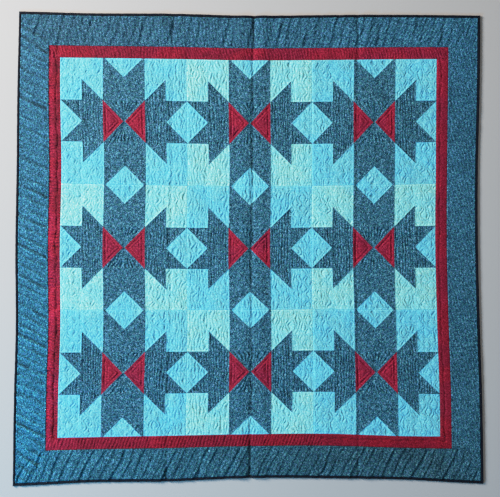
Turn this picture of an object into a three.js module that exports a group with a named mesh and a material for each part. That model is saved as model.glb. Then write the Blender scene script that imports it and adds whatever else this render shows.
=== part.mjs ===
// A pieced and quilted throw, lying flat on the floor with its pieced side up.
// Nine star blocks are sewn three by three, framed by a narrow inner border and a wide
// outer border, and a folded binding wraps the raw edge. Units are millimetres, +Z is up,
// +Y is the top of the quilt, and the origin is on the floor under the middle.
// Every piece is a slab of the quilted layers: flat where it lies on the floor, with the
// sewn seams as ditches, the patches as low puffs and the old fold lines as creases on top.

import * as THREE from 'three'

// Cut and sewn sizes
const PATCH = 76.2 // a finished 3 inch patch, the unit that the block is drawn on
const PATCHES_PER_BLOCK = 6
const BLOCKS_PER_SIDE = 3
const INNER_BORDER = 43 // width of the narrow strips
const OUTER_BORDER = 107 // width of the wide strips, seam to binding
const BINDING = 10.5 // width of the binding that shows

// Layers and relief
const SEAM_HEIGHT = 4.2 // thickness at a sewn seam
const PUFF = 1.3 // how much higher the batting stands inside a patch
const PUFF_REACH = 14 // distance from a seam over which it rises
const BINDING_HEIGHT = 5.2
const CREASE_DEPTH = 2.2
const CREASE_WIDTH = 8
const SHOULDER_RISE = 1.5 // the cloth swells beside an old fold line
const SHOULDER_AT = 30
const SHOULDER_WIDTH = 22

// How finely a slab is divided
const STEP = PATCH / 2
const GAP = 0.3 // between neighbouring pieces

// Lines of the layout, measured from the middle of the quilt
const BLOCK = PATCH * PATCHES_PER_BLOCK
const FIELD_HALF = (BLOCK * BLOCKS_PER_SIDE) / 2
const INNER_HALF = FIELD_HALF + INNER_BORDER
const CLOTH_HALF = INNER_HALF + OUTER_BORDER
const EDGE_HALF = CLOTH_HALF + BINDING
const BORDER_CELLS = [
  { from: FIELD_HALF, to: INNER_HALF, cells: 2 },
  { from: INNER_HALF, to: CLOTH_HALF, cells: 3 },
]

// The quilt doesn't lie quite square. The two tables say how far its outer edge and the edge of
// its pieced field are drawn aside at seven even places along a side, read upwards for left and
// right, which move along X, and rightwards for top and bottom, which move along Y.
const EDGE_DRAWN = [
  { left: 0.0, right: -3.0, top: 8.5, bottom: -8.5 },
  { left: 1.5, right: -5.0, top: 3.0, bottom: 3.5 },
  { left: 6.0, right: -11.5, top: 3.0, bottom: 5.5 },
  { left: 2.5, right: -16.0, top: -3.0, bottom: 16.0 },
  { left: 4.5, right: -14.0, top: 1.0, bottom: 13.5 },
  { left: 5.0, right: -5.0, top: 3.5, bottom: 7.0 },
  { left: 9.0, right: 0.0, top: 2.0, bottom: -8.5 },
]
const FIELD_DRAWN = [
  { left: -0.5, right: 0.5, top: 0.5, bottom: 0.0 },
  { left: -0.5, right: 1.3, top: -0.8, bottom: 4.0 },
  { left: 6.3, right: -6.0, top: -3.6, bottom: 8.0 },
  { left: 2.8, right: -11.0, top: -7.6, bottom: 12.1 },
  { left: 6.5, right: -7.4, top: -5.0, bottom: 12.5 },
  { left: 0.2, right: -3.6, top: -0.6, bottom: 2.6 },
  { left: -0.5, right: 1.0, top: 1.0, bottom: 0.5 },
]

// The middle of the field has crept to the right and down.
const CREEP_RIGHT = 2.4
const CREEP_DOWN = 9.0

// Old fold lines. An upright one crosses the middle at X = at and leans by lean millimetres of X
// for each millimetre of Y. A level one lies at Y = at.
const CREASES = [
  { upright: true, at: -293, lean: 0.0115, strength: 0.8 },
  { upright: true, at: 0, lean: 0, strength: 1.0 },
  { upright: true, at: 397, lean: -0.0013, strength: 0.8 },
  { upright: false, at: 457.2, lean: 0, strength: 0.45 },
  { upright: false, at: 0, lean: 0, strength: 0.55 },
  { upright: false, at: -457.2, lean: 0, strength: 0.5 },
]

// Seams of a quarter of the block, in patches from its outer corner, mirrored to the other three
const POST_GOOSE_INSET = 0.1 // the light triangles of the middle column stop short of its edges
const SIDE_GOOSE_INSET = 0.035
const QUARTER_SEAMS = [
  { fromX: 1, fromY: 0, toX: 1, toY: 3 }, // outer column of rectangles
  { fromX: 2, fromY: 0, toX: 2, toY: 3 }, // middle column
  { fromX: 0, fromY: 2, toX: 1, toY: 2 }, // end of the corner rectangle
  { fromX: 0, fromY: 2 + SIDE_GOOSE_INSET, toX: 1 - SIDE_GOOSE_INSET, toY: 3 }, // side goose
  { fromX: 1, fromY: 1, toX: 2, toY: 2 }, // slanted star point
  { fromX: 2 + POST_GOOSE_INSET, fromY: 0, toX: 3, toY: 1 - POST_GOOSE_INSET }, // end goose
  { fromX: 2, fromY: 1, toX: 3, toY: 1 }, // rectangle between the end goose and the hourglass
  { fromX: 2, fromY: 2, toX: 3, toY: 2 }, // top of the hourglass
  { fromX: 2, fromY: 2, toX: 3, toY: 3 }, // hourglass diagonal
]

const SKY = { color: 0x7cccdf, roughness: 0.9, metalness: 0 }
const MINT = { color: 0x97dcdc, roughness: 0.9, metalness: 0 }
const RED = { color: 0x96304a, roughness: 0.88, metalness: 0 }
const TEAL = { color: 0x39708a, roughness: 0.9, metalness: 0 }
const NAVY = { color: 0x141b2b, roughness: 0.85, metalness: 0 }

const clamp = THREE.MathUtils.clamp
const mix = THREE.MathUtils.lerp

// A smooth curve through one column of a table above, read at along from -1 to 1.
function drawnAside(table, side, along) {
  const last = table.length - 1
  const place = clamp((along + 1) / 2, 0, 1) * last
  const row = Math.min(Math.floor(place), last - 1)
  const t = place - row
  const value = (i) => table[clamp(i, 0, last)][side]
  const [before, start, end, after] = [value(row - 1), value(row), value(row + 1), value(row + 2)]
  const leave = (end - before) / 2
  const arrive = (after - start) / 2
  const bend = 3 * (end - start) - 2 * leave - arrive
  const twist = 2 * (start - end) + leave + arrive
  return start + t * (leave + t * (bend + t * twist))
}

// One coordinate's shift: inside the field its two edges share it out,
// and from there each border blends to the outer edge.
function shift(place, along, low, high) {
  const across = clamp((place + FIELD_HALF) / (2 * FIELD_HALF), 0, 1)
  const outward = clamp((Math.abs(place) - FIELD_HALF) / (EDGE_HALF - FIELD_HALF), 0, 1)
  const atLow = drawnAside(FIELD_DRAWN, low, along)
  const atHigh = drawnAside(FIELD_DRAWN, high, along)
  const atEdge = drawnAside(EDGE_DRAWN, place < 0 ? low : high, along)
  return mix(mix(atLow, atHigh, across), atEdge, outward)
}

// The shift of the field's middle, a mound that is nothing at the field's edges
// and steeper on one side than on the other.
function creep(u, v) {
  const x = clamp(u / FIELD_HALF, -1, 1)
  const y = clamp(v / FIELD_HALF, -1, 1)
  const mound = (1 - x * x) * (1 - y * y)
  return {
    right: CREEP_RIGHT * mound * (1 - x),
    up: -CREEP_DOWN * mound * (1 - y * y) * (1 + 0.9 * y),
  }
}

// Where the point (u, v) of the square, flat quilt lies on the floor.
function lie(u, v) {
  const { right, up } = creep(u, v)
  return [
    u + shift(u, v / EDGE_HALF, 'left', 'right') + right,
    v + shift(v, u / EDGE_HALF, 'bottom', 'top') + up,
  ]
}

function distanceToSegment(x, y, seam) {
  const dx = seam.toX - seam.fromX
  const dy = seam.toY - seam.fromY
  const t = clamp(((x - seam.fromX) * dx + (y - seam.fromY) * dy) / (dx * dx + dy * dy), 0, 1)
  return Math.hypot(x - seam.fromX - t * dx, y - seam.fromY - t * dy)
}

// Distance from (u, v) to the nearest sewn seam that shows.
function seamDistance(u, v) {
  const reach = Math.max(Math.abs(u), Math.abs(v))
  if (reach >= INNER_HALF) return Math.min(reach - INNER_HALF, Math.abs(CLOTH_HALF - reach))
  if (reach >= FIELD_HALF) return Math.min(reach - FIELD_HALF, INNER_HALF - reach)
  const fold = (place) => {
    const inBlock = (((place + FIELD_HALF) % BLOCK) + BLOCK) % BLOCK / PATCH
    return Math.min(inBlock, PATCHES_PER_BLOCK - inBlock)
  }
  const x = fold(u)
  const y = fold(v)
  const seams = QUARTER_SEAMS.map((seam) => distanceToSegment(x, y, seam))
  const blockEdge = Math.min(x, y)
  return Math.min(blockEdge, ...seams) * PATCH
}

// Height that the old folds add at (u, v): a narrow dip with a low swell on both sides.
function creaseHeight(u, v) {
  let height = 0
  for (const crease of CREASES) {
    const [across, along] = crease.upright ? [u, v] : [v, u]
    const distance = Math.abs(across - crease.at - crease.lean * along)
    const dip = CREASE_DEPTH * Math.exp(-((distance / CREASE_WIDTH) ** 2))
    const swell = SHOULDER_RISE * Math.exp(-(((distance - SHOULDER_AT) / SHOULDER_WIDTH) ** 2))
    height += crease.strength * (swell - dip)
  }
  return height
}

function clothHeight(u, v) {
  const puff = PUFF * (1 - Math.exp(-seamDistance(u, v) / PUFF_REACH))
  return SEAM_HEIGHT + puff + creaseHeight(u, v)
}

// The lines of a slab's grid from low to high: half patches over the field, even cells over the
// two borders, and the leaning creases. All pieces share them, so that their edges match.
function gridLines(low, high, creases) {
  const places = []
  const fieldCells = Math.round((2 * FIELD_HALF) / STEP)
  for (let i = 0; i <= fieldCells; i += 1) places.push(-FIELD_HALF + i * STEP)
  for (const { from, to, cells } of BORDER_CELLS) {
    for (let i = 1; i <= cells; i += 1) {
      const half = mix(from, to, i / cells)
      places.push(half, -half)
    }
  }
  const straight = places
    .filter((at) => at > low - GAP && at < high + GAP)
    .map((at) => ({ at, lean: 0 }))
  const leaning = creases.filter(({ at, lean }) => lean !== 0 && at > low && at < high)
  return [...straight, ...leaning].sort((a, b) => a.at - b.at)
}

const UPRIGHT = CREASES.filter((crease) => crease.upright)
const LEVEL = CREASES.filter((crease) => !crease.upright)
const uLines = (low, high) => gridLines(low, high, UPRIGHT)
const vLines = (low, high) => gridLines(low, high, LEVEL)

// A closed slab over a grid of lines: the raised top, upright walls round its rim, and a flat
// underside, which is a fan round its middle.
function slabGeometry(acrossLines, upLines) {
  const wide = acrossLines.length
  const high = upLines.length
  const positions = []
  const flat = []
  const inward = (i, count) => (i === 0 ? GAP / 2 : i === count - 1 ? -GAP / 2 : 0)
  for (let j = 0; j < high; j += 1) {
    for (let i = 0; i < wide; i += 1) {
      const v = upLines[j].at + inward(j, high)
      const u = acrossLines[i].at + acrossLines[i].lean * v + inward(i, wide)
      flat.push([u, v])
      positions.push(...lie(u, v), clothHeight(u, v))
    }
  }

  const at = (i, j) => j * wide + i
  const near = (p, q) => seamDistance(...flat[p]) + seamDistance(...flat[q])
  const faces = []
  for (let j = 0; j + 1 < high; j += 1) {
    for (let i = 0; i + 1 < wide; i += 1) {
      const [a, b, c, d] = [at(i, j), at(i + 1, j), at(i + 1, j + 1), at(i, j + 1)]
      // a cell is split along the diagonal that lies nearer to a slanted seam
      if (near(a, c) <= near(b, d)) faces.push([a, b, c], [a, c, d])
      else faces.push([a, b, d], [b, c, d])
    }
  }

  const rim = []
  for (let i = 0; i + 1 < wide; i += 1) rim.push(at(i, 0))
  for (let j = 0; j + 1 < high; j += 1) rim.push(at(wide - 1, j))
  for (let i = wide - 1; i > 0; i -= 1) rim.push(at(i, high - 1))
  for (let j = high - 1; j > 0; j -= 1) rim.push(at(0, j))
  const foot = flat.length
  for (const k of rim) positions.push(...lie(...flat[k]), 0)
  const middle = foot + rim.length
  const middleOf = (lines) => mix(lines[0].at, lines[lines.length - 1].at, 0.5)
  positions.push(...lie(middleOf(acrossLines), middleOf(upLines)), 0)
  rim.forEach((top, k) => {
    const next = (k + 1) % rim.length
    faces.push([top, foot + k, foot + next], [top, foot + next, rim[next]])
    faces.push([middle, foot + next, foot + k])
  })
  return closedBody(positions, faces)
}

function closedBody(positions, faces) {
  const geometry = new THREE.BufferGeometry()
  geometry.setAttribute('position', new THREE.Float32BufferAttribute(positions, 3))
  geometry.setIndex(faces.flat())
  geometry.computeVertexNormals()
  return geometry
}

// Section of the folded binding: how far out from the cloth's edge, and how high.
const BINDING_SECTION = [
  { out: GAP / 2, height: 0 },
  { out: BINDING - 2.4, height: 0 },
  { out: BINDING, height: 1.5 },
  { out: BINDING, height: 3.3 },
  { out: BINDING - 2.2, height: BINDING_HEIGHT },
  { out: GAP / 2, height: BINDING_HEIGHT - 0.6 },
]

// One side of the binding, mitred at both ends. place turns (along, out) into (u, v), and lines
// run so that the section turns outwards.
function bindingGeometry(lines, place) {
  const positions = []
  const ring = BINDING_SECTION.length
  for (const { at, lean } of lines) {
    const isEnd = Math.abs(at) === CLOTH_HALF
    for (const { out, height } of BINDING_SECTION) {
      const toMitre = isEnd ? Math.sign(at) * (out - GAP / Math.SQRT2) : 0
      const [, across] = place(0, CLOTH_HALF + out)
      const [u, v] = place(at + lean * across + toMitre, CLOTH_HALF + out)
      const lift = creaseHeight(u, v) * (height / BINDING_HEIGHT)
      positions.push(...lie(u, v), height + lift)
    }
  }
  const faces = []
  for (let s = 0; s + 1 < lines.length; s += 1) {
    for (let k = 0; k < ring; k += 1) {
      const [a, b] = [s * ring + k, s * ring + ((k + 1) % ring)]
      faces.push([a, b, b + ring], [a, b + ring, a + ring])
    }
  }
  const end = (lines.length - 1) * ring
  for (let k = 1; k + 1 < ring; k += 1) {
    faces.push([0, k + 1, k], [end, end + k, end + k + 1])
  }
  return closedBody(positions, faces)
}

function piece(name, geometry, look) {
  const mesh = new THREE.Mesh(geometry, new THREE.MeshStandardMaterial(look))
  mesh.name = name
  return mesh
}

// The star blocks, counted from the top left corner as one reads them.
function starBlocks() {
  const blocks = new THREE.Group()
  for (let row = 0; row < BLOCKS_PER_SIDE; row += 1) {
    for (let column = 0; column < BLOCKS_PER_SIDE; column += 1) {
      const left = -FIELD_HALF + column * BLOCK
      const bottom = FIELD_HALF - (row + 1) * BLOCK
      const geometry = slabGeometry(uLines(left, left + BLOCK), vLines(bottom, bottom + BLOCK))
      const look = (row + column) % 2 === 0 ? SKY : MINT
      blocks.add(piece(`star_block_${row + 1}${column + 1}`, geometry, look))
    }
  }
  return blocks
}

// A frame of four strips. The side strips are sewn on first, so the top and bottom strips
// run the whole width.
function border(name, inner, outer, look) {
  const strips = [
    { side: 'left', across: uLines(-outer, -inner), up: vLines(-inner, inner) },
    { side: 'right', across: uLines(inner, outer), up: vLines(-inner, inner) },
    { side: 'top', across: uLines(-outer, outer), up: vLines(inner, outer) },
    { side: 'bottom', across: uLines(-outer, outer), up: vLines(-outer, -inner) },
  ]
  const frame = new THREE.Group()
  for (const { side, across, up } of strips) {
    frame.add(piece(`${name}_${side}`, slabGeometry(across, up), look))
  }
  return frame
}

// The binding, one continuous strip on the real quilt, as its four mitred sides.
function binding() {
  const wrap = new THREE.Group()
  const level = uLines(-CLOTH_HALF, CLOTH_HALF)
  const upright = vLines(-CLOTH_HALF, CLOTH_HALF)
  const sides = [
    { side: 'top', lines: level, place: (along, out) => [along, out] },
    { side: 'bottom', lines: level.toReversed(), place: (along, out) => [along, -out] },
    { side: 'left', lines: upright, place: (along, out) => [-out, along] },
    { side: 'right', lines: upright.toReversed(), place: (along, out) => [out, along] },
  ]
  for (const { side, lines, place } of sides) {
    wrap.add(piece(`binding_${side}`, bindingGeometry(lines, place), NAVY))
  }
  return wrap
}

const quilt = new THREE.Group()
quilt.add(starBlocks())
quilt.add(border('inner_border', FIELD_HALF, INNER_HALF, RED))
quilt.add(border('outer_border', INNER_HALF, CLOTH_HALF, TEAL))
quilt.add(binding())

export default quilt
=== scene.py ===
# %% [markdown]
# A pieced and quilted throw, spread on the floor. Cotton patches are sewn into nine star blocks,
# the blocks are framed by two borders, and the pieced top is laid on batting and a backing and
# stitched through all three. Those stitched lines pull the cloth down into small valleys, and the
# light that rakes over them is most of what one sees. So each piece here is a sheet whose height
# is worked out on a fine grid, and its colours are worked out in the material from the same flat
# coordinates, which keeps the edges of the patches sharp at any distance.

# %% Load the measured frame
import math

import bpy
import numpy as np
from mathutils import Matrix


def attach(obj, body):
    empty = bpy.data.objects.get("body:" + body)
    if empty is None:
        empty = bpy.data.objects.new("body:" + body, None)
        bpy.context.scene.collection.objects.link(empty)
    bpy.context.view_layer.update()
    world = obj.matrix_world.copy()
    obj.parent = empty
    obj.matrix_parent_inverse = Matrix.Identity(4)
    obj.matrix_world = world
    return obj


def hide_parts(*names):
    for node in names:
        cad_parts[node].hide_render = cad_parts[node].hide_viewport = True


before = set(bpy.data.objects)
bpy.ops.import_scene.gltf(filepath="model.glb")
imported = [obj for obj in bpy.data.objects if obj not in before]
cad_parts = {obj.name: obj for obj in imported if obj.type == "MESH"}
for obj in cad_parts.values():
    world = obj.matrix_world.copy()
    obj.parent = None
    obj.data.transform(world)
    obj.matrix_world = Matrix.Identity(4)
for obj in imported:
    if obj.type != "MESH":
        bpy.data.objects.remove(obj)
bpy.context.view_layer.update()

# %% [markdown]
# The layout is drawn on one unit, the finished patch. Six patches make a block and three blocks
# make the field. Keeping every other line in the same flat coordinates, u to the right and v up
# from the middle of the quilt, lets the same numbers place seams, stitching and print.

# %% Sizes, in millimetres
MM = 0.001
PATCH = 76.2
BLOCK = 6 * PATCH
FIELD = 1.5 * BLOCK  # half the pieced field
INNER = FIELD + 43.0  # half the quilt at the outer seam of the narrow strips
CLOTH = INNER + 107.0  # half the quilt where the binding starts
BINDING = 10.5
EDGE = CLOTH + BINDING
print("field", round(2 * FIELD, 1), "mm, quilt", round(2 * EDGE, 1), "mm")

# %% [markdown]
# Cloth that has been folded, washed and spread by hand isn't square. Its sides bow in and its
# corners reach out. Seven measured places along each side give how far the outer edge and the
# field's edge are drawn aside, and a smooth curve runs through them. A lattice modifier could
# bend the finished meshes instead, but a function of u and v serves every piece alike.

# %% How the flat quilt lies on the floor
EDGE_DRAWN = {
    "left": (0.0, 1.5, 6.0, 2.5, 4.5, 5.0, 9.0),
    "right": (-3.0, -5.0, -11.5, -16.0, -14.0, -5.0, 0.0),
    "top": (8.5, 3.0, 3.0, -3.0, 1.0, 3.5, 2.0),
    "bottom": (-8.5, 3.5, 5.5, 16.0, 13.5, 7.0, -8.5),
}
FIELD_DRAWN = {
    "left": (-0.5, -0.5, 6.3, 2.8, 6.5, 0.2, -0.5),
    "right": (0.5, 1.3, -6.0, -11.0, -7.4, -3.6, 1.0),
    "top": (0.5, -0.8, -3.6, -7.6, -5.0, -0.6, 1.0),
    "bottom": (0.0, 4.0, 8.0, 12.1, 12.5, 2.6, 0.5),
}


def drawn_aside(rows, along):
    """A smooth curve through even rows, read at along from -1 to 1. Between two rows it is the
    cubic whose slope at each row is half the step from the row before to the row after."""
    rows = np.asarray(rows)
    last = len(rows) - 1
    place = np.clip((along + 1) / 2, 0, 1) * last
    row = np.minimum(np.floor(place), last - 1).astype(int)
    t = place - row
    before, start, end, after = (rows[np.clip(row + k, 0, last)] for k in (-1, 0, 1, 2))
    leave = (end - before) / 2
    arrive = (after - start) / 2
    bend = 3 * (end - start) - 2 * leave - arrive
    twist = 2 * (start - end) + leave + arrive
    return start + t * (leave + t * (bend + t * twist))


def blend(a, b, t):
    """a where t is 0, b where t is 1."""
    return a + (b - a) * t


def shift(place, along, low, high):
    """The field's two edges share the shift out between them, and each border blends from the
    field's edge to the outer edge."""
    across = np.clip((place + FIELD) / (2 * FIELD), 0, 1)
    outward = np.clip((np.abs(place) - FIELD) / (EDGE - FIELD), 0, 1)
    field = blend(*(drawn_aside(FIELD_DRAWN[side], along) for side in (low, high)), across)
    edge = np.where(place < 0, *(drawn_aside(EDGE_DRAWN[side], along) for side in (low, high)))
    return blend(field, edge, outward)


CREEP_RIGHT, CREEP_DOWN = 2.4, 9.0


def creep(u, v):
    """The middle of the field has crept right and down. Both shifts are a mound that is nothing
    at the field's edges, steeper on one side than on the other."""
    x, y = np.clip(u / FIELD, -1, 1), np.clip(v / FIELD, -1, 1)
    mound = (1 - x * x) * (1 - y * y)
    down = CREEP_DOWN * mound * (1 - y * y) * (1 + 0.9 * y)
    return CREEP_RIGHT * mound * (1 - x), -down


def lie(u, v):
    """Where the point (u, v) of the flat quilt lies, in millimetres."""
    right, up = creep(u, v)
    x = u + shift(u, v / EDGE, "left", "right") + right
    return x, v + shift(v, u / EDGE, "bottom", "top") + up


print("the middle of the quilt lies at", np.round(lie(0, 0), 1), "mm")

# %% [markdown]
# Two small helpers carry all the unevenness. A soft random field bends lines that a hand has
# guided, and a valley is the mark that a stitched line leaves: deepest at the thread, gone a few
# millimetres away. The random numbers are seeded, so each run makes the same quilt.

# %% Unevenness and valleys
def drift(u, v, size, seed):
    """A smooth random field from -1 to 1. Random values stand on a square lattice of that size,
    turned a little, and are blended by the ease curve 3tt - 2ttt."""
    turn = 0.4 + seed
    x = (u * math.cos(turn) - v * math.sin(turn)) / size
    y = (u * math.sin(turn) + v * math.cos(turn)) / size
    count = int(3 * EDGE / size) + 4
    lattice = np.random.default_rng(seed).uniform(-1, 1, (count, count))
    i, j = np.floor(x).astype(int), np.floor(y).astype(int)
    s, t = x - i, y - j
    s, t = s * s * (3 - 2 * s), t * t * (3 - 2 * t)
    corner = {(a, b): lattice[(i + a) % count, (j + b) % count] for a in (0, 1) for b in (0, 1)}
    near = blend(corner[0, 0], corner[1, 0], s)
    return blend(near, blend(corner[0, 1], corner[1, 1], s), t)


def valley(distance, width):
    """1 on the line, falling off as a bell curve of that width."""
    return np.exp(-((distance / width) ** 2))


def from_lines(phase, pitch):
    """Distance to the nearest line, where lines lie at the whole numbers of the phase."""
    return np.abs(phase - np.round(phase)) * pitch


print("a valley 2 mm wide, at 0, 2 and 4 mm:", valley(np.array([0, 2, 4]), 2).round(2))

# %% [markdown]
# A block repeats itself in its four quarters, so its seams are listed once, in patches from the
# block's corner. The light triangles are sewn a little inside their patch, so their points stop
# short of the neighbouring seams. The points of the red triangles stop short of the middle of the
# block, and the dark cloth shows between them.

# %% Seams of the blocks
SIDE_INSET = 0.015  # in patches, as are the next two
POST_INSET = 0.10
RED_INSET = 0.04
QUARTER_SEAMS = {
    "outer column": ((1, 0), (1, 3)),
    "middle column": ((2, 0), (2, 3)),
    "corner rectangle": ((0, 2), (1, 2)),
    "side goose": ((0, 2 + SIDE_INSET), (1 - SIDE_INSET, 3)),
    "slanted star point": ((1, 1), (2, 2)),
    "end goose": ((2 + POST_INSET, 0), (3, 1 - POST_INSET)),
    "post rectangle": ((2, 1), (3, 1)),
    "top of the hourglass": ((2, 2), (3, 2)),
    "hourglass diagonal": ((2, 2), (3 - RED_INSET, 3)),
}


def in_quarter(place):
    """Patches from the nearer edge of the block."""
    inside = np.mod(place + FIELD, BLOCK) / PATCH
    return np.minimum(inside, 6 - inside)


def reach_of(u, v):
    """How far out a point is: half the width of the square frame that it lies on."""
    return np.maximum(np.abs(u), np.abs(v))


def segment_distance(x, y, start, end):
    """Distance from points to a straight piece of line: the nearest point is where the point's
    shadow falls on it, kept between its ends."""
    (ax, ay), (bx, by) = start, end
    dx, dy = bx - ax, by - ay
    t = np.clip(((x - ax) * dx + (y - ay) * dy) / (dx * dx + dy * dy), 0, 1)
    return np.hypot(x - ax - t * dx, y - ay - t * dy)


def seam_distance(u, v):
    """Millimetres to the nearest sewn seam: a border's two seams, or the block's own."""
    reach = reach_of(u, v)
    x, y = in_quarter(u), in_quarter(v)
    own = np.minimum(x, y)
    for start, end in QUARTER_SEAMS.values():
        own = np.minimum(own, segment_distance(x, y, start, end))
    inner = np.minimum(np.abs(reach - FIELD), np.abs(INNER - reach))
    outer = np.minimum(np.abs(reach - INNER), np.abs(CLOTH - reach))
    return np.select([reach < FIELD, reach < INNER], [own * PATCH, inner], outer)


print(len(QUARTER_SEAMS), "seams in each quarter of a block, besides its edge")

# %% [markdown]
# Each kind of patch is quilted in its own way: the light ones with chains of ovals, the star's
# arms with long wavy lines like wood grain, the posts with a small wandering stipple, the dark
# hourglass triangles with strokes that fan out, and the red triangles with lines that echo their
# seams. The lines could be drawn as curves and pressed into the cloth one by one, but there are
# hundreds of them. Here each function gives the distance to the nearest stitched line instead,
# and a later cell turns distance into depth.

# %% Quilting lines of the patches
OVAL_PITCH = 10.5  # millimetres from line to line
OVAL_LINK = (43.0, 48.0)  # width and height of two links of the chain
GRAIN_PITCH = 9.4
STIPPLE_REACH = 7.0
FAN_STROKES = 34 / (2 * np.pi)  # strokes to a radian
ECHO_LINES = (10.0, 20.0)  # millimetres inside the seams


def ovals(u, v):
    """Upright lines that close up and open out by turns, like links of a chain. The lines lie at
    the whole numbers of u / pitch + open sin u cos v. Towards the sides of the quilt they open
    into rings, and in the middle they run nearly straight and sway more."""
    side = np.clip((np.abs(u + 60) - 150) / 220, 0, 1)
    u = u + 4.0 * drift(u, v, 15, 3) + blend(7.0, 4.0, side) * drift(u, v, 40, 4)
    v = v + 6.0 * drift(u, v, 22, 34) + blend(16.0, 8.0, side) * drift(u, v, 70, 35)
    wide, high = OVAL_LINK
    links = np.sin(2 * np.pi * u / wide) * np.cos(2 * np.pi * v / high)
    return from_lines(u / OVAL_PITCH + blend(0.35, 0.68, side) * links, OVAL_PITCH)


def grain(u, v):
    """Long upright lines that sway together: even lines of u plus a slow and a quick drift."""
    sway = 6.0 * drift(u, 0.4 * v, 30, 5) + 2.6 * drift(u, v, 13, 6)
    return from_lines((u + sway) / GRAIN_PITCH, GRAIN_PITCH)


def stipple(u, v):
    """A line that wanders over the patch: where a fine random field crosses zero."""
    field = drift(u, v, 9.5, 7) + 0.5 * drift(u, v, 5.5, 8)
    return np.abs(field) * STIPPLE_REACH


def fan(u, v):
    """Strokes from the middle of the block outwards: lines at even angles, with some sway."""
    x = np.mod(u + FIELD, BLOCK) - BLOCK / 2
    y = np.mod(v + FIELD, BLOCK) - BLOCK / 2
    radius = np.hypot(x, y) + 1e-6
    sway = 0.5 * drift(u, v, 18, 9)
    return from_lines(np.arctan2(y, x) * FAN_STROKES + sway, radius / FAN_STROKES)


def echo(u, v):
    """Two lines that follow the seams of a red triangle, the inner one fainter: the distance to
    the seam, less that of each line."""
    distance = seam_distance(u, v) + 1.2 * drift(u, v, 20, 10)
    outer, inner = ECHO_LINES
    return np.minimum(0.4 + np.abs(distance - outer), 1.4 + np.abs(distance - inner))


PROBE = [grid.ravel() for grid in np.meshgrid(*[np.linspace(-FIELD, FIELD, 91)] * 2)]
for lines in (ovals, grain, stipple, fan):
    print(lines.__name__, "on average", lines(*PROBE).mean().round(2), "mm from a stitched line")

# %% [markdown]
# The narrow strips have a line along them at the sides and short strokes across at the top and
# the bottom. The left one has short level crinkles as well, and the right part of the bottom one
# has the line along it. The wide border has slanted strokes, which lean one way along the bottom
# and the right of the top and the other way down the left, and the right side is nearly plain.

# %% Quilting lines of the borders
STRIP_LINE = 15.0  # millimetres from the field to the line along a strip
STROKE_PITCH = 10.5


def along_strip(inside, u, v):
    """One line that runs with the strip, swaying. inside is the distance from the field."""
    sway = 3.5 * drift(u, v, 45, 11) + 3.0 * drift(u, v, 15, 18)
    return np.abs(inside - STRIP_LINE + sway)


def across_strip(u, v):
    """Short strokes across the strip, each leaning a little: even lines of u plus a share of v."""
    lean = 0.3 * v + 7.0 * drift(u, v, 34, 12) + 2.0 * drift(u, v, 9, 19)
    return from_lines((u + lean) / STROKE_PITCH, STROKE_PITCH)


def slanted(u, v, lean, pitch, seed):
    """Strokes at an angle: lines of the distance across a direction that leans by lean."""
    across = u * math.cos(lean) + v * math.sin(lean)
    sway = 4.0 * drift(u, v, 38, seed) + 1.5 * drift(u, v, 14, seed + 1)
    return from_lines((across + sway) / pitch, pitch)


print("strokes across a strip:", round(2 * INNER / STROKE_PITCH), "along each side")

# %% [markdown]
# The quilt was folded for a long time, and the fold lines still show: narrow dips with a low
# swell on both sides. The weak ones fade out. One list says where each runs, how far it leans,
# how strong it is and, where it doesn't cross the whole quilt, above or below what it shows.

# %% Fold lines
FOLDS = (
    {"upright": True, "at": -289.0, "lean": 0.0115, "strength": 0.8},
    {"upright": True, "at": 8.0, "lean": 0.008, "strength": 1.75},
    {"upright": True, "at": 393.0, "lean": 0.004, "strength": 0.8},
    {"upright": True, "at": 8.0, "lean": 0.008, "strength": 0.25, "above": 660.0},
    {"upright": True, "at": -289.0, "lean": 0.0115, "strength": 0.25, "below": -660.0},
    {"upright": True, "at": 146.0, "strength": 0.45, "above": 560.0},
    {"upright": True, "at": 257.0, "strength": 0.45, "above": 560.0},
    {"upright": True, "at": 472.0, "strength": 0.4, "above": 700.0},
    {"upright": True, "at": -182.0, "strength": 0.3, "below": -700.0},
    {"upright": False, "at": 461.0, "strength": 0.35},
    {"upright": False, "at": 3.0, "strength": 0.45},
    {"upright": False, "at": -452.0, "strength": 0.4},
)
BEYOND = 2 * EDGE  # further out than any cloth
FOLD_DIP, FOLD_SWELL = 1.3, 0.9  # millimetres
SWELL_AT = 34.0
FADE_OUT = 60.0  # millimetres over which a fold sets in
MOST_FOLD_SHADE = 2.2


def fold_lines(u, v):
    """The height of the folds, and the painted shade that darkens their dips. A dip lies on each
    line, with a wide swell beside it on both sides, and the upright ones are twice as strong in
    the wide border."""
    height, shade = np.zeros_like(u), np.zeros_like(u)
    for fold in FOLDS:
        across, along = (u, v) if fold["upright"] else (v, u)
        line = fold["at"] + fold.get("lean", 0.0) * along + 3.0 * drift(u, v, 70, 33)
        off = np.abs(across - line)
        above = np.clip((along - fold.get("above", -BEYOND)) / FADE_OUT, 0, 1)
        below = np.clip((fold.get("below", BEYOND) - along) / FADE_OUT, 0, 1)
        border = 1 + fold["upright"] * np.clip((np.abs(along) - INNER + 5.0) / 25.0, 0, 1)
        uneven = 0.85 + 0.3 * drift(u, v, 60, 13)
        strength = fold["strength"] * above * below * border * uneven
        swell, dip = valley(off - SWELL_AT, 22.0), valley(off, 5.5)
        height += strength * (FOLD_SWELL * swell - FOLD_DIP * dip)
        # painted shade along the dip of each fold
        shade += strength * valley(off, 4.5)
    return height, np.clip(shade, 0, MOST_FOLD_SHADE)


depths = fold_lines(*PROBE)[0]
print("folds in the field:", depths.min().round(1), "to", depths.max().round(1), "mm")
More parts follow.
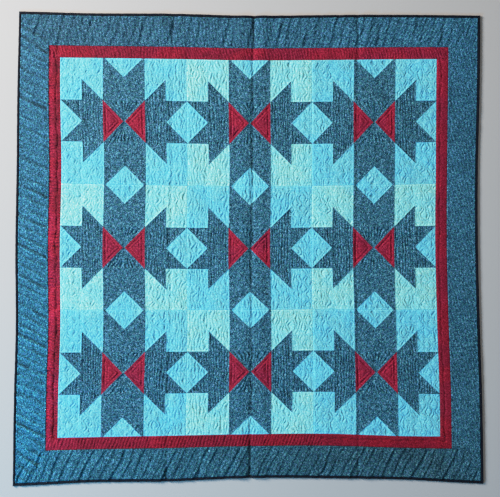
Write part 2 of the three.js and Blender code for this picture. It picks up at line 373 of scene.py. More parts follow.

# %% [markdown]
# The wide border has soft slanted ripples on three sides, where the stitching has gathered more
# cloth than the field beside it needs. Each is a dip with a crest next to it. The dips are also
# darker, and the crests and the slopes that face the light paler, than the light alone would make
# them: painted shade in the dips and painted highlights on the crests and the lit slopes.

# %% Ripples of the wide border
# dark is the painted shade in a dip, pale the painted highlight on the slope towards the light,
# and crest raises the crest and sets its painted highlight
RIPPLES = (
    {
        "side": "bottom", "lean": -0.5, "at": -690.0, "pitch": 37.3, "wide": 7.0,
        "depth": 1.6, "dark": 0.03, "crest": 1.3, "pale": 0.28, "moves_on": -436.0,
    },
    {
        "side": "left", "lean": 0.5, "at": -14.0, "pitch": 35.5, "wide": 6.0,
        "depth": 2.0, "dark": 0.42, "crest": 0.8,
    },
    {
        "side": "top", "lean": -0.3, "at": 12.0, "pitch": 33.0, "wide": 7.5,
        "depth": 1.4, "dark": 0.08, "crest": 0.8,
    },
)
CREST_AT, LIT_AT = 0.3, 0.13  # from a dip, in pitches: the crest, and the slope towards the light


def ripples(u, v):
    """The height of slanted dips over three sides of the wide border, and their painted shading:
    painted shade in the dips and painted highlights on the crests and the lit slopes. at is a dip
    on the middle of the side, and lean how far the dips slant. Every third dip is deeper, and
    past the place moves_on the deeper ones move on by two."""
    out = {"left": -u, "top": v, "bottom": -v}
    height, shade = np.zeros_like(u), np.zeros_like(u)
    for number, ripple in enumerate(RIPPLES):
        reach = out[ripple["side"]]
        along = v if ripple["side"] == "left" else u
        across = reach - (INNER + CLOTH) / 2
        slant = ripple["lean"] * across * (-1 if ripple["side"] in ("left", "bottom") else 1)
        place = along + slant - ripple["at"] + 7 * drift(u, v, 60, 15 + number)
        pitch, wide, rise = ripple["pitch"], ripple["wide"], ripple["crest"]
        turn = 2 * np.clip(0.5 + (along - ripple.get("moves_on", BEYOND)) / 30.0, 0, 1)
        third = 0.8 + 0.35 * np.cos(2 * np.pi * (place / pitch - turn) / 3)
        here = np.clip((reach - INNER) / 8.0, 0, 1) * (reach >= reach_of(u, v) - 25)
        here = here * third * (0.85 + 0.4 * drift(u, v, 50, 14))
        upright = 1 / math.hypot(1, ripple["lean"])
        dip = here * valley(from_lines(place / pitch, pitch) * upright, wide)
        crest = here * valley(from_lines(place / pitch + CREST_AT, pitch) * upright, 0.6 * wide)
        lit = here * valley(from_lines(place / pitch - LIT_AT, pitch) * upright, 3.0)
        height += ripple["depth"] * (0.85 * rise * crest - dip)
        # painted shade in the dips, painted highlights on the crests and on the slopes towards the
        # light
        shade += ripple["dark"] * (dip - 1.2 * rise * crest) - ripple.get("pale", 0.0) * lit
    return height, shade


for ripple in RIPPLES:
    print(ripple["side"], "side:", round(2 * CLOTH / ripple["pitch"]), "ripples")

# %% [markdown]
# Which stitching a point gets depends on the patch it is in, and that is a question of its place
# in a quarter of the block. Comparing the two coordinates answers it for all points at once. The
# depths are how far the thread pulls the cloth down, least where the lines crowd in the stipple.

# %% Which patch, which lines, how deep
def patch_kinds(u, v):
    """Which kind of patch each point is in, by its place in a quarter of the block."""
    x, y = in_quarter(u), in_quarter(v)
    side, post = x < 1, x > 2
    arm = ~side & ~post
    hourglass = post & (y > 2)
    corner = (side & (y < 2)) | (arm & (y < x))
    goose = (side & (y > x + 2 + SIDE_INSET)) | (post & (y < x - 2 - POST_INSET))
    red = hourglass & ((y - 2) * (1 - RED_INSET) > x - 2)
    field = reach_of(u, v) < FIELD
    kinds = {"light": corner | goose, "red": red, "fan": hourglass & ~red}
    kinds["dark"] = ~(corner | goose | red)
    kinds["post"] = post & ~hourglass & ~goose
    return {kind: field & here for kind, here in kinds.items()}


PATCH_DEPTH = {"light": 2.35, "red": 2.6, "fan": 3.0, "post": 1.3, "arms": 2.5}
STRIP_DEPTH = (1.7, 3.4, 1.5, 1.6)  # millimetres: bottom, left, top and right
BORDER_DEPTH = (0.9, 1.0)  # on the right and elsewhere
BORDER_LEANS = ((-0.5, 12.5), (1.1, 16.0), (-0.5, 12.5), (0.12, 12.5))  # lean and pitch
LENGTHWISE_FROM = 260.0  # right of this the bottom strip has its line along it


def border_strokes(u, v):
    """The wide border's strokes: the bottom, the left, the right part of the top and its left
    part each have a lean and a pitch of their own, and the right side has the last ones."""
    places = [v < -INNER, u < -INNER, (v > INNER) & (u > 100), v > INNER]
    strokes = [slanted(u, v, *lean, 20 + 2 * k) for k, lean in enumerate(BORDER_LEANS)]
    return np.select(places, strokes, slanted(u, v, 0.3, 12.0, 28))


def strip_strokes(u, v, reach):
    """The narrow strips' strokes, along at the sides and across at the top and the bottom."""
    lengthwise = (np.abs(v) < FIELD) | ((v < 0) & (u > LENGTHWISE_FROM))
    strip = np.where(lengthwise, along_strip(reach - FIELD, u, v), across_strip(u, v))
    strip = np.where(u < -FIELD, np.minimum(strip, 0.8 + across_strip(v, u)), strip)
    leaning = (v < -FIELD) & (u < LENGTHWISE_FROM)
    return np.where(leaning, slanted(u, v, -0.3, 11.0, 44), strip)


def quilting(u, v):
    """Distance to the nearest stitched line and the depth it is pulled to, patch by patch."""
    kinds = patch_kinds(u, v)
    reach = reach_of(u, v)
    sides = [v < -FIELD, u < -FIELD, v > FIELD]
    strip_depth = np.select(sides, STRIP_DEPTH[:3], STRIP_DEPTH[3])
    border_depth = np.where(u > INNER, *BORDER_DEPTH)
    cases = (
        (reach > INNER, border_strokes(u, v), border_depth),
        (reach > FIELD, strip_strokes(u, v, reach), strip_depth),
        (kinds["light"], ovals(u, v), PATCH_DEPTH["light"]),
        (kinds["red"], echo(u, v), PATCH_DEPTH["red"]),
        (kinds["fan"], fan(u, v), PATCH_DEPTH["fan"]),
        (kinds["post"], stipple(u, v), PATCH_DEPTH["post"]),
    )
    chosen = [case for case, _, _ in cases]
    distance = np.select(chosen, [lines for _, lines, _ in cases], grain(u, v))
    return distance, np.select(chosen, [depth for _, _, depth in cases], PATCH_DEPTH["arms"])


for kind, here in patch_kinds(*PROBE).items():
    print(kind, "cloth covers", round(100 * here.mean()), "% of the field")

# %% [markdown]
# The light falls unevenly over the borders, and that is painted into their colour. Each side of
# both borders goes from one tint at its low end, which is its left or its lower end, to another at
# its high end: painted light and shade, brightest and bluest low on the left side and darker along
# the right of the bottom. The tints multiply the cloth's own colour.

# %% Painted light and shade on the borders
WIDE_PAINTED_LIGHT = {
    "left": ((0.81, 1.37, 1.38), (0.92, 0.99, 1.00)),
    "right": ((1.08, 1.00, 0.93), (0.98, 1.04, 1.08)),
    "top": ((0.88, 0.79, 0.78), (1.08, 1.11, 1.13)),
    "bottom": ((0.88, 1.08, 1.02), (0.80, 0.63, 0.54)),
}
NARROW_PAINTED_LIGHT = {
    "left": ((1.28, 1.60, 1.63), (0.98, 0.93, 1.00)),
    "right": ((0.93, 0.97, 0.87), (0.90, 1.12, 1.12)),
    "top": ((0.86, 0.80, 0.87), (1.07, 1.40, 1.40)),
    "bottom": ((1.12, 0.95, 0.95), (0.86, 0.70, 0.68)),
}
CORNER_BLEND = 80.0  # millimetres over which one side's tint runs into the next


def painted_border_light(u, v):
    """The painted light and shade of the borders, as a tint of red, green and blue: each side's
    blend of its two ends, weighted by how near the point is to that side's part of the corner."""
    outs = {"left": (-u, v), "right": (u, v), "top": (v, u), "bottom": (-v, u)}
    reach = reach_of(u, v)
    wide = (reach > INNER)[:, None]
    total, shares = np.zeros_like(u), np.zeros((len(u), 3))
    for side, (out, along) in outs.items():
        weight = np.clip(1 - (reach - out) / CORNER_BLEND, 0, 1)
        t = np.clip(0.5 + along / (2 * INNER), 0, 1)[:, None] ** (0.6 if side == "bottom" else 1)
        low, high = (np.where(wide, *two) for two in zip(WIDE_PAINTED_LIGHT[side], NARROW_PAINTED_LIGHT[side]))
        shares += weight[:, None] * blend(low, high, t)
        total += weight
    return np.where((reach > FIELD)[:, None], shares / total[:, None], 1.0)


corners = np.array([[-1, 1, 1, -1], [-1, -1, 1, 1]]) * CLOTH
print("tints of the four corners:", painted_border_light(*corners).round(2).tolist())

# %% [markdown]
# The height of the cloth is the batting's puff between seams, less the ditch of each seam, less
# the valleys of the stitching, with the folds and ripples over it all. One function gives it for
# the whole quilt, so neighbouring pieces meet without a step. It also gives the tone that the
# material multiplies its colour by: painted shade, darker in ditches, stitched lines and folds,
# and a painted highlight beside them on the light cloth, where the puffs rise towards the light.

# %% Height and tone of the pieced side
SEAM_HEIGHT = 4.9
PUFF, PUFF_REACH = 0.9, 14.0
ALLOWANCE, ALLOWANCE_WIDTH = 0.75, 5.5
SEAM_DITCH = 0.7
STITCH_WIDTH, LIGHT_STITCH_WIDTH = 3.0, 2.3
THINNEST = 1.6
# how much painted shade darkens the stitched lines and seam ditches, and the folds
STITCH_SHADE, FOLD_SHADE = 0.26, 0.17


def allowance(u, v, seam):
    """The seam allowances are pressed towards the darker cloth and raise it beside the seam."""
    reach = reach_of(u, v)
    dark = patch_kinds(u, v)["dark"] | (reach > INNER)
    return ALLOWANCE * valley(seam, ALLOWANCE_WIDTH) * dark


def blotches(u, v, arms):
    """The slow changes of tone: soft blotches, upright streaks in the star's arms, and on the left
    strip a pale band of painted highlight along its outer seam, where the strip bulges towards
    the light, with a darker band of painted shade inside it."""
    reach = reach_of(u, v)
    left_strip = (reach < INNER) & (u < -FIELD)
    uneven = np.select([reach < FIELD, left_strip, v < -INNER], [0.06, 0.25, 0.15], 0.1)
    tone = uneven * (drift(u, v, 40, 51) + 0.6 * drift(u, v, 18, 52))
    tone += 0.13 * arms * drift(2 * u, 0.4 * v, 16, 53)
    # painted highlight on the side of the left strip that bulges towards the light, painted shade
    # inside it
    painted_strip_light = valley(u + INNER - 8.0, 8.0) - 0.5 * valley(u + FIELD + 14.0, 7.0)
    return tone + 0.3 * left_strip * painted_strip_light


def cloth_height(u, v):
    """Millimetres above the floor, and the tone, which is 1 for plain cloth."""
    seam = seam_distance(u, v)
    distance, depth = quilting(u, v)
    fold, fold_shade = fold_lines(u, v)
    ripple, ripple_shade = ripples(u, v)
    kinds = patch_kinds(u, v)
    light, arms = kinds["light"], kinds["dark"] & ~kinds["post"] & ~kinds["fan"]

    pull = (0.8 + 0.5 * drift(u, v, 13, 32)) * np.clip(seam / 5.0, 0, 1)
    stitched = pull * valley(distance, np.where(light, LIGHT_STITCH_WIDTH, STITCH_WIDTH))
    ditch = 0.5 * valley(seam, 1.6)
    puff = PUFF * (1 - np.exp(-seam / PUFF_REACH))
    lumps = 0.4 * drift(u, v, 30, 30) + 0.35 * drift(u, v, 12, 31) + 0.16 * drift(u, v, 6, 36)
    height = SEAM_HEIGHT + puff + allowance(u, v, seam)
    height += lumps - SEAM_DITCH * ditch - depth * stitched

    reach = reach_of(u, v)
    strip = (reach > FIELD) & (reach < INNER)
    # painted highlight on the light cloth, beside the seams and the stitched lines, where the
    # puffs rise towards the light
    painted_highlight = light * (0.22 * valley(seam - 2.6, 2.2) + 0.08 * pull * valley(distance - 4.6, 1.6))
    # painted shade in the stitched lines and the seam ditches; folds and ripples add their own
    # painted shade
    shade = (STITCH_SHADE - 0.03 * light + 0.1 * strip) * np.maximum(stitched, ditch)
    tone = 1 - shade - FOLD_SHADE * fold_shade - ripple_shade + painted_highlight + blotches(u, v, arms)
    return np.maximum(height + fold + ripple, THINNEST), tone[:, None] * painted_border_light(u, v)


heights, _ = cloth_height(*PROBE)
print("cloth over the field:", heights.min().round(1), "to", heights.max().round(1), "mm high")

# %% [markdown]
# All pieces take their grid lines from one list, so that neighbours share the lines of their
# common edge. The lines are about 2.5 mm apart, a quarter of the distance between two stitched
# lines, and finer would make the pieces too heavy.

# %% Grid lines
GAP = 0.1  # millimetres between neighbouring pieces
FRAMES = (-CLOTH, -INNER, -FIELD, FIELD, INNER, CLOTH)
CELLS = (42, 17, 540, 17, 42)  # from one frame to the next


def even(low, high, cells):
    """The near ends of so many even cells from low to high."""
    return np.linspace(low, high, cells + 1)[:-1]


STATIONS = np.concatenate([*map(even, FRAMES, FRAMES[1:], CELLS), [CLOTH]])


def stations(low, high):
    """The grid lines from low to high, the end ones drawn in by half the gap."""
    kept = STATIONS[(STATIONS > low - GAP) & (STATIONS < high + GAP)].copy()
    kept[0] += GAP / 2
    kept[-1] -= GAP / 2
    return kept


print(len(STATIONS), "grid lines each way,", round(2 * FIELD / CELLS[2], 2), "mm apart")

# %% [markdown]
# A piece of the quilt is a closed slab: the raised grid on top, upright walls and a flat
# underside, which is a single flat face. A displaced plane made thick by a modifier would raise
# its underside with its top. Here the points, the faces and two attributes are worked out as
# arrays and handed over at once: lay, the flat place that the prints are drawn in, and tone.

# %% Slabs
def closed_mesh(name, points, quads, caps, lay, tone, smooth):
    """A mesh from points in millimetres. The first quads, smooth of them, are shaded as one soft
    surface. lay is each point's flat place in patches, which the materials read, and caps are
    flat faces of many corners."""
    mesh = bpy.data.meshes.new(name)
    mesh.vertices.add(len(points))
    mesh.vertices.foreach_set("co", (points * MM).astype(np.float32).ravel())
    corners = np.concatenate([quads.ravel(), *caps])
    counts = np.array([4] * len(quads) + [len(cap) for cap in caps])
    mesh.loops.add(len(corners))
    mesh.loops.foreach_set("vertex_index", corners.astype(np.int32))
    mesh.polygons.add(len(counts))
    starts = np.concatenate([[0], np.cumsum(counts)[:-1]])
    mesh.polygons.foreach_set("loop_start", starts.astype(np.int32))
    mesh.polygons.foreach_set("use_smooth", np.arange(len(counts)) < smooth)
    mesh.update(calc_edges=True)
    for kind, values in (("lay", lay), ("tone", tone)):
        attribute = mesh.attributes.new(kind, "FLOAT_VECTOR", "POINT")
        attribute.data.foreach_set("vector", values.astype(np.float32).ravel())
    mesh.validate()
    piece = bpy.data.objects.new(name, mesh)
    bpy.context.scene.collection.objects.link(piece)
    return piece


def slab(name, u_lines, v_lines):
    """The top grid, then the rim again on the floor: walls join the two, and the rim's ring is
    the underside."""
    u, v = (grid.ravel() for grid in np.meshgrid(u_lines, v_lines))
    wide, high = len(u_lines), len(v_lines)
    height, tone = cloth_height(u, v)
    x, y = lie(u, v)
    index = np.arange(wide * high).reshape(high, wide)
    a, b, c, d = index[:-1, :-1], index[:-1, 1:], index[1:, 1:], index[1:, :-1]
    top = np.stack([a, b, c, d], axis=-1).reshape(-1, 4)
    rim = np.concatenate([index[0, :-1], index[:-1, -1], index[-1, :0:-1], index[:0:-1, 0]])
    foot = wide * high + np.arange(len(rim))
    walls = np.stack([rim, foot, np.roll(foot, -1), np.roll(rim, -1)], axis=-1)
    points = np.stack([x, y, height], axis=-1)
    under = points[rim] * (1, 1, 0)
    points = np.concatenate([points, under])
    lay = np.stack([u, v, 0 * u], axis=-1) / PATCH
    lay = np.concatenate([lay, lay[rim]])
    tone = np.concatenate([tone, tone[rim]])
    quads = np.concatenate([top, walls])
    piece = closed_mesh(name, points, quads, [foot[::-1]], lay, tone, len(top))
    print(name, len(top) * 2, "triangles on top, relief", np.ptp(height).round(2), "mm")
    return piece


# %% [markdown]
# Material maths reads better as expressions than as a picture of wires. A Wire is a socket that
# can be added, multiplied and compared, and each of those adds one Math node. A Finish is a
# material being built, with one method that adds any node.

# %% Expressions for materials
def math_node(operation, turned=False):
    """A method that adds the Math node of an operation on a Wire and others, or, if turned, on
    the others and the Wire."""

    def method(self, *others):
        values = (*others, self) if turned else (self, *others)
        return self.finish.add("ShaderNodeMath", {"operation": operation}, dict(enumerate(values)))

    return method


class Wire:
    """A value that varies over the surface. Operators on it add Math nodes."""

    def __init__(self, finish, socket):
        self.finish, self.socket = finish, socket

    __add__, __mul__ = math_node("ADD"), math_node("MULTIPLY")
    __sub__, __rsub__ = math_node("SUBTRACT"), math_node("SUBTRACT", turned=True)
    __mod__ = math_node("FLOORED_MODULO")
    __gt__, __lt__ = math_node("GREATER_THAN"), math_node("LESS_THAN")
    least, most, sine = math_node("MINIMUM"), math_node("MAXIMUM"), math_node("SINE")


class Finish:
    """A cotton material under construction."""

    def __init__(self, name):
        self.material = bpy.data.materials.new(name)
        self.material.use_nodes = True
        self.tree = self.material.node_tree
        self.tree.nodes.clear()

    def add(self, kind, settings=None, sockets=None, out=0):
        """Adds a node. Its settings come first, a ramp's stops among them, and then its sockets,
        by name or number, each with a value or a Wire."""
        node = self.tree.nodes.new(kind)
        for name, value in (settings or {}).items():
            if name == "stops":
                self.set_stops(node.color_ramp, value)
            else:
                setattr(node, name, value)
        for name, value in (sockets or {}).items():
            if isinstance(value, Wire):
                self.tree.links.new(value.socket, node.inputs[name])
            else:
                node.inputs[name].default_value = value
        return Wire(self, node.outputs[out]) if node.outputs else node

    @staticmethod
    def set_stops(ramp, stops):
        """Stops are (place, colour) pairs."""
        while len(ramp.elements) < len(stops):
            ramp.elements.new(0.5)
        for element, (place, colour) in zip(ramp.elements, stops):
            element.position = place
            element.color = colour

    def blend(self, factor, a, b, how="MIX"):
        """Colour a, going over to b as the factor rises."""
        settings = {"data_type": "RGBA", "blend_type": how}
        return self.add("ShaderNodeMix", settings, {0: factor, 6: a, 7: b}, out=2)

    def noise(self, place, scale, detail=2.0, rough=0.5, twist=0.0):
        """Blotches, scale of them to a patch."""
        sockets = {"Vector": place, "Scale": scale, "Detail": detail}
        sockets |= {"Roughness": rough, "Distortion": twist}
        return self.add("ShaderNodeTexNoise", {}, sockets)

    def stretch(self, place, angle, sizes):
        """The place turned by an angle and scaled by two sizes."""
        sockets = {"Vector": place, "Rotation": (0, 0, angle), "Scale": (*sizes, 1)}
        return self.add("ShaderNodeMapping", {}, sockets)


def cotton(red, green, blue):
    """A colour as seen, 0 to 255, as the linear colour that a material takes."""
    seen = np.array([red, green, blue]) / 255
    linear = np.where(seen <= 0.04045, seen / 12.92, ((seen + 0.055) / 1.055) ** 2.4)
    return (*linear.tolist(), 1.0)


print("a middle grey as a linear colour:", round(cotton(128, 128, 128)[0], 3))

# %% [markdown]
# All the cloth is plain woven cotton: very rough, with hardly any gloss, and a weave of two
# threads at right angles, some of them thicker. A photo of a weave would do for one distance.
# Two sets of sine waves, multiplied, stay sharp from near and follow the flat place of the cloth.
# One function finishes every cloth this way and takes only its colour, which it multiplies by the
# tone that came with the mesh.

# %% Plain woven cotton
THREADS_PER_PATCH = 110
ROUGHNESS, GLOSS = 0.9, 0.2
WEAVE_HEIGHT = 0.0003  # metres


def weave(finish, place):
    """Height of the weave: warp and weft threads as two sets of waves, multiplied."""
    turn = 2 * math.pi * THREADS_PER_PATCH
    u, v = flat_axes(finish, place)
    return (u * turn).sine() * (v * turn).sine()


def flat_axes(finish, place):
    """u and v of the flat place, in patches."""
    split = finish.add("ShaderNodeSeparateXYZ", {}, {"Vector": place})
    node = split.socket.node
    return Wire(finish, node.outputs[0]), Wire(finish, node.outputs[1])


def finish_cloth(finish, colour, place):
    """The shader: colour times tone, rough, with the bump of the weave and of slubs, which are
    thicker threads: a noise stretched along one thread."""
    tone = finish.add("ShaderNodeAttribute", {"attribute_name": "tone"}, {})
    shaded = finish.blend(1.0, colour, tone, "MULTIPLY")
    slubs = finish.noise(finish.stretch(place, 0, (30, 160)), 1.0, 2.0)
    height = weave(finish, place) * 0.5 + slubs
    sockets = {"Strength": 0.35, "Distance": WEAVE_HEIGHT, "Height": height}
    bump = finish.add("ShaderNodeBump", {}, sockets)
    roughness = ROUGHNESS - slubs * 0.08
    sockets = {"Base Color": shaded, "Roughness": roughness, "Normal": bump}
    sockets |= {"Specular IOR Level": GLOSS}
    shader = finish.add("ShaderNodeBsdfPrincipled", {}, sockets)
    finish.add("ShaderNodeOutputMaterial", {}, {"Surface": shader})
    return finish.material


def flat_place(finish):
    """The flat place, in patches, that each point of a mesh carries with it."""
    return finish.add("ShaderNodeAttribute", {"attribute_name": "lay"}, {}, out=1)


print("threads to the inch:", round(THREADS_PER_PATCH / PATCH * 25.4))

# %% [markdown]
# None of the cloths has a clear motif. The light blue, the mint and the red are printed tone on
# tone, so a broad and a fine noise move their colour a little. The dark cloth is a busy small
# print of paler strokes and near black specks on teal. A ramp turns the noise into the few
# colours that such a print has, and its close stops give the marks their edges.

# %% The prints
COOLER, WARMER = (0.93, 1.0, 1.03, 1), (1.1, 1.01, 0.93, 1)


def tinted(finish, place, colour, amount):
    """The colour leans to green and to violet by turns, in blotches of a few millimetres."""
    blotches = finish.noise(place, 10.0, 2.0, 0.65)
    greener = (1 - 1.6 * amount, 1 + 0.5 * amount, 1 - 1.2 * amount, 1)
    bluer = (1 + 1.6 * amount, 1 - 0.5 * amount, 1 + 1.2 * amount, 1)
    stops = ((0.36, greener), (0.64, bluer))
    tint = finish.add("ShaderNodeValToRGB", {"stops": stops}, {"Fac": blotches})
    return finish.blend(1.0, colour, tint, "MULTIPLY")


def tone_on_tone(finish, place, colour, paler, darker):
    """A colour with soft paler and darker marks a few millimetres long, a little cooler and
    warmer by turns in clouds wider than a patch."""
    marks = finish.noise(finish.stretch(place, 0.3, (20, 14)), 1.0, 3.0, 0.65, 0.4)
    stops = ((0.37, darker), (0.5, colour), (0.63, paler))
    marked = finish.add("ShaderNodeValToRGB", {"stops": stops}, {"Fac": marks})
    clouds = finish.noise(place, 0.8, 1.0)
    stops = ((0.42, COOLER), (0.58, WARMER))
    cloudy = finish.add("ShaderNodeValToRGB", {"stops": stops}, {"Fac": clouds})
    return tinted(finish, place, finish.blend(1.0, marked, cloudy, "MULTIPLY"), 0.05)


def dark_print(finish, place, colours):
    """Paler strokes and dark specks on teal: a twisted noise, stretched upwards, through a
    ramp, and a finer noise over it."""
    strokes = finish.noise(finish.stretch(place, 0.25, (17, 11)), 1.0, 3.0, 0.62, 1.2)
    specks = finish.noise(place, 27.0, 2.0, 0.6, 0.5)
    mixed = strokes * 0.5 + specks * 0.5
    deep, dark, middle, pale = colours
    stops = ((0.41, deep), (0.47, dark), (0.54, middle), (0.62, pale))
    printed = finish.add("ShaderNodeValToRGB", {"stops": stops}, {"Fac": mixed})
    return tinted(finish, place, printed, 0.14)


STAR_TEAL = (cotton(2, 18, 28), cotton(22, 69, 91), cotton(58, 125, 149), cotton(142, 206, 220))
SKY = (cotton(108, 207, 233), cotton(144, 234, 250), cotton(72, 175, 212))
MINT = (cotton(138, 228, 231), cotton(180, 249, 239), cotton(98, 196, 212))
RED = (cotton(150, 27, 53), cotton(190, 50, 80), cotton(106, 12, 34))
STRIP_RED = (cotton(143, 20, 44), cotton(182, 41, 68), cotton(103, 9, 27))
print("colours in the dark print:", len(STAR_TEAL), "and in each tone on tone cloth:", len(SKY))

# %% [markdown]
# The star cloths are mapped by the same rules as the seams. The place in the block is folded into
# one quarter, and each patch is a comparison of its two coordinates. Giving each patch its own
# material would be simpler, but then the seams would follow the grid of the mesh in small steps.

# %% The star patchwork
def star_patchwork(name, corner_cloth):
    """Corner rectangles and points in one light cloth, light triangles in sky blue, the red pair
    of the hourglass, and the dark star round them."""
    finish = Finish(name)
    place = flat_place(finish)
    u, v = flat_axes(finish, place)
    x, y = ((axis + 9) % 6 for axis in (u, v))
    x, y = x.least(6 - x), y.least(6 - y)
    side, post = x < 1, x > 2
    arm = (1 - side) * (1 - post)
    corner = (side * (y < 2)).most(arm * (y < x))
    goose = (side * (y > x + 2 + SIDE_INSET)).most(post * (y < x - (2 + POST_INSET)))
    red = post * (y > 2) * ((y - 2) * (1 - RED_INSET) > x - 2)
    colour = dark_print(finish, place, STAR_TEAL)
    colour = finish.blend(corner, colour, tone_on_tone(finish, place, *corner_cloth))
    colour = finish.blend(goose, colour, tone_on_tone(finish, place, *SKY))
    colour = finish.blend(red, colour, tone_on_tone(finish, place, *RED))
    return finish_cloth(finish, colour, place)


def plain_cotton(name, print_of):
    """A border, binding or backing cloth, coloured by a function of the flat place."""
    finish = Finish(name)
    place = flat_place(finish)
    return finish_cloth(finish, print_of(finish, place), place)


BORDER_TEAL = (cotton(3, 28, 44), cotton(21, 70, 93), cotton(56, 116, 142), cotton(122, 192, 214))
NAVY = (cotton(7, 12, 24), cotton(12, 19, 34), cotton(4, 7, 16))
BACKING = (cotton(86, 128, 146), cotton(94, 138, 156), cotton(78, 118, 136))
FINISHES = {
    "sky": star_patchwork("sky_star_patchwork", SKY),
    "mint": star_patchwork("mint_star_patchwork", MINT),
    "red": plain_cotton("red_cotton", lambda f, p: tone_on_tone(f, p, *STRIP_RED)),
    "teal": plain_cotton("teal_print", lambda f, p: dark_print(f, p, BORDER_TEAL)),
    "navy": plain_cotton("navy_cotton", lambda f, p: tone_on_tone(f, p, *NAVY)),
    "backing": plain_cotton("backing_cotton", lambda f, p: tone_on_tone(f, p, *BACKING)),
}
print("finishes:", ", ".join(FINISHES))


# %% [markdown]
# Now the pieces themselves. Each one stands for its solid of the same name and lies on the floor.
# Its underside gets the backing, a plain grey blue cotton, which is a guess because it never
# shows.

# %% Nine star blocks
def dress(piece, look):
    """Gives a piece its cloth and its backing, and ties it to the solid of its name."""
    mesh = piece.data
    mesh.materials.append(FINISHES[look])
    mesh.materials.append(FINISHES["backing"])
    slots = np.zeros(len(mesh.polygons), np.int32)
    slots[-1] = 1
    mesh.polygons.foreach_set("material_index", slots)
    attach(piece, "root")
    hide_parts(piece.name.removesuffix("_cloth"))


for row in range(3):
    for column in range(3):
        left = -FIELD + column * BLOCK
        bottom = FIELD - (row + 1) * BLOCK
        lines = stations(left, left + BLOCK), stations(bottom, bottom + BLOCK)
        block = slab(f"star_block_{row + 1}{column + 1}_cloth", *lines)
        look = "sky" if (row + column) % 2 == 0 else "mint"
        dress(block, look)

# %% [markdown]
# A binding is a strip folded double over the raw edge and sewn down on both faces. Its section is
# a rounded U laid on its side. It is swept along each side, and letting the length of the sweep
# grow with the distance outwards cuts the ends at 45 degrees.

# %% The binding
SECTION_POINTS = 13
BINDING_HEIGHT = 5.2
FOLD_RADIUS = 2.8


def binding_section():
    """Half an ellipse round the fold and straight lines back to the cloth, from the floor up:
    how far out, and how high as a share of the binding's height."""
    turn = np.linspace(-np.pi / 2, np.pi / 2, SECTION_POINTS)
    out = BINDING - FOLD_RADIUS + FOLD_RADIUS * np.cos(turn)
    high = 0.5 + 0.5 * np.sin(turn)
    out = np.concatenate([[GAP / 2], out, [4.0, GAP / 2]])
    return out, np.concatenate([[0.0], high, [0.97, 0.80]])


def binding_side(name, flip, upright):
    """Sweeps the section along one side. flip is the side's sign, and upright swaps u and v. The
    binding puckers a little and rises and falls with the folds and ripples beside it."""
    out, high = binding_section()
    along = STATIONS[::2][:: flip if upright else -flip]
    share = along[:, None] / CLOTH
    reach = CLOTH + out[None, :] + 0 * along[:, None]
    run = share * (reach - np.where(np.abs(share) > 0.999, GAP / 2, 0))
    u, v = (flip * reach, run) if upright else (run, flip * reach)
    pucker = 0.35 * drift(u, v, 16, 40) + 0.3 * drift(u, v, 45, 41)
    x, y = lie(u, v)
    inward = pucker * np.clip(out / BINDING, 0, 1)
    x, y = (x - flip * inward, y) if upright else (x, y - flip * inward)
    lift = np.maximum(fold_lines(u, v)[0] + ripples(u, v)[0] * 0.6 + pucker, -2.0)
    height = high * (BINDING_HEIGHT + lift)
    ring = len(out)
    count = len(along)
    points = np.stack([x, y, height], axis=-1).reshape(-1, 3)
    index = np.arange(count * ring).reshape(count, ring)
    turned = np.roll(index, -1, axis=1)
    quads = np.stack([index[:-1], turned[:-1], turned[1:], index[1:]], axis=-1).reshape(-1, 4)
    lay = np.stack([u, v, height], axis=-1).reshape(-1, 3) / PATCH
    # painted shade: darker along the inner edges, where the binding meets the cloth
    tone = (1 - 0.25 * valley(out, 2.5) + 0 * along[:, None]).reshape(-1, 1) * np.ones(3)
    caps = [index[0, ::-1], index[-1]]
    piece = closed_mesh(name, points, quads, caps, lay, tone, len(quads))
    piece.data.materials.append(FINISHES["navy"])
    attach(piece, "root")
    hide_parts(name.removesuffix("_cloth"))
    return piece


WAYS = {"left": (-1, True), "right": (1, True), "top": (1, False), "bottom": (-1, False)}
bindings = {side: binding_side(f"binding_{side}_cloth", *way) for side, way in WAYS.items()}
print("binding:", len(bindings), "sides,", SECTION_POINTS + 3, "points to a section")

# %% [markdown]
# The border strips come last. The side strips are sewn on first, so the top and bottom strips
# run the whole width.

# %% Two borders
def border(name, look, slot, low, high, bound=False):
    """Four strips between two square frames, at half widths low and high."""
    spans = {
        "left": ((-high, -low), (-low, low)),
        "right": ((low, high), (-low, low)),
        "top": ((-high, high), (low, high)),
        "bottom": ((-high, high), (-high, -low)),
    }
    for side, (across, up) in spans.items():
        strip = slab(f"{name}_{side}_cloth", stations(*across), stations(*up))
        dress(strip, look)


border("inner_border", "red", "red_border", FIELD, INNER)
border("outer_border", "teal", "teal_border", INNER, CLOTH, bound=True)

# %% [markdown]
# The quilt lies on a plain pale floor. A soft light stands low on the upper left, as a window
# would, so that every valley is dark on its left slope and bright on its right. A second, bluer
# one on the lower left brightens that corner. A weak light from above and a pale sky keep the
# shadows open. A sun lamp would rake as well, but it lights all places alike, and here the left
# side has to be brighter than the right.

# %% Floor and lights
def plain_floor():
    """A square of 8 by 8 metres under the quilt, which isn't part of it."""
    mesh = bpy.data.meshes.new("floor")
    half = 4.0
    corners = [(-half, -half, 0), (half, -half, 0), (half, half, 0), (-half, half, 0)]
    mesh.from_pydata(corners, [], [(0, 1, 2, 3)])
    floor = bpy.data.objects.new("floor", mesh)
    bpy.context.scene.collection.objects.link(floor)
    finish = Finish("pale_floor")
    sockets = {"Base Color": cotton(190, 186, 180), "Roughness": 0.85}
    shader = finish.add("ShaderNodeBsdfPrincipled", {}, sockets)
    finish.add("ShaderNodeOutputMaterial", {}, {"Surface": shader})
    mesh.materials.append(finish.material)


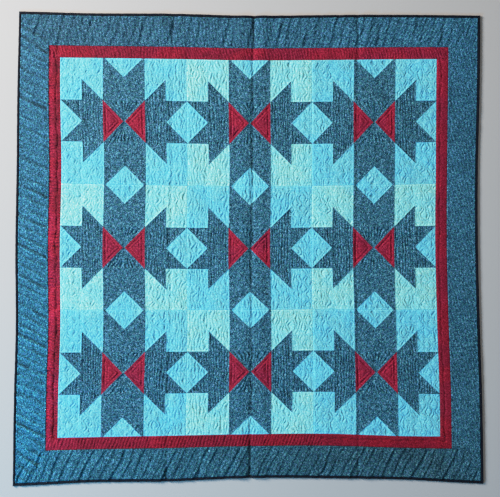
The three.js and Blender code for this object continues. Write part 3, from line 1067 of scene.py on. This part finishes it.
def soft_light(name, place, size, power, colour):
    """A square area light at place that faces the middle of the quilt."""
    lamp = bpy.data.lights.new(name, "AREA")
    lamp.shape = "SQUARE"
    lamp.size = size
    lamp.energy = power
    lamp.color = colour
    light = bpy.data.objects.new(name, lamp)
    light.location = place
    x, y, z = np.array(place) / np.linalg.norm(place)
    light.rotation_euler = (math.acos(z), 0, math.atan2(y, x) + math.pi / 2)
    bpy.context.scene.collection.objects.link(light)
    print(name, "stands", round(math.degrees(math.asin(z))), "degrees above the floor")


plain_floor()
soft_light("window", (-4.6, 2.2, 2.0), 1.5, 612, (1.0, 0.945, 0.93))
soft_light("ceiling", (0.2, 0.3, 3.2), 2.5, 10, (0.95, 0.98, 1.0))
soft_light("second window", (-3.2, -3.0, 1.6), 1.2, 175, (0.0, 0.5, 1.0))
world = bpy.data.worlds.new("pale sky")
world.use_nodes = True
sky = world.node_tree.nodes["Background"]
sky.inputs["Color"].default_value = (0.9, 0.95, 1.0, 1)
sky.inputs["Strength"].default_value = 0.16
bpy.context.scene.world = world

# %% [markdown]
# A camera doesn't record bright cloth in proportion: it rolls the highlights off, so the pale
# patches near the window come out hardly brighter than those far from it, while the dark ones do.
# The scene's tone curve does the same. Up to a little over half of full light it changes nothing.

# %% The film curve
view = bpy.context.scene.view_settings
view.view_transform = "Standard"
view.use_curve_mapping = True
view.curve_mapping.use_clip = False
film = view.curve_mapping.curves[3]
film.points[1].location = (1.6, 0.95)
for light, shown in ((0.3, 0.3), (0.55, 0.55), (0.85, 0.73)):
    film.points.new(light, shown)
view.curve_mapping.update()
print("film curve:", [tuple(round(x, 2) for x in point.location) for point in film.points])

# %% [markdown]
# The camera is held by hand over the quilt, a little off the middle and not quite level. Its
# place and its angles were worked out from the four corners of the pieced field.

# %% The camera, held over the quilt
FOCAL_IN_WIDTHS = 1.04  # focal length over the width of the picture
camera = bpy.data.cameras.new("camera")
camera.sensor_fit = "HORIZONTAL"
camera.sensor_width = 36.0
camera.lens = FOCAL_IN_WIDTHS * camera.sensor_width
camera.clip_end = 20.0
held = bpy.data.objects.new("camera", camera)
held.location = (-0.0213, -0.0414, 1.8841)
held.rotation_euler = [math.radians(angle) for angle in (1.068, -0.679, -0.016)]
bpy.context.scene.collection.objects.link(held)
bpy.context.scene.camera = held
print("camera", round(held.location.z, 2), "m up, lens", round(camera.lens, 1), "mm")
